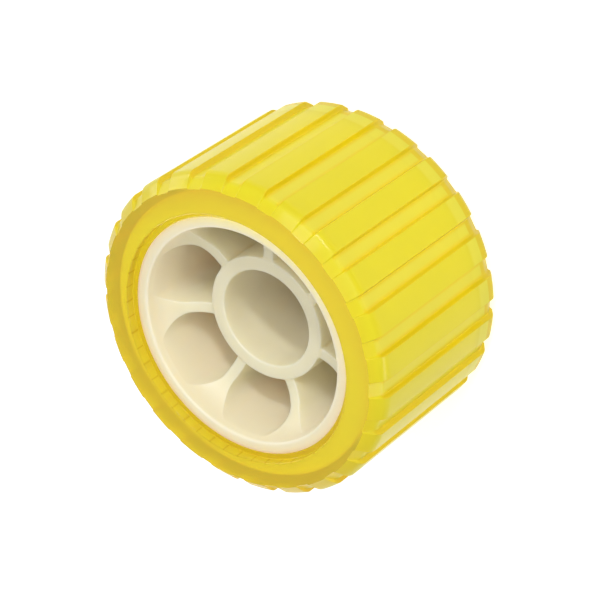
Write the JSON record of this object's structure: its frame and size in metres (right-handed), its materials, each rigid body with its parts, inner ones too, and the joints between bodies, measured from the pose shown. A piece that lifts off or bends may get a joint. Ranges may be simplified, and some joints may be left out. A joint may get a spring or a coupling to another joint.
{
  "type": "ribbed roller",
  "caption": "Roller with a soft ribbed tread moulded over a spoked hub, whose recessed boss has a plain through bore for a shaft.",
  "frame": {"origin": "centre of the lower end face of the tread, on the roller's axis", "axes": "+Z along the roller's axis, up from the end it stands on; +X through the middle of a groove in the tread"},
  "size_m": [0.1268, 0.1268, 0.0762],
  "materials": {
    "hub": "satin as moulded, cream",
    "tread": "soft, slightly see-through, yellow"
  },
  "bodies": {
    "root": {"hub": "hub", "tread": "tread"}
  },
  "joints": []
}
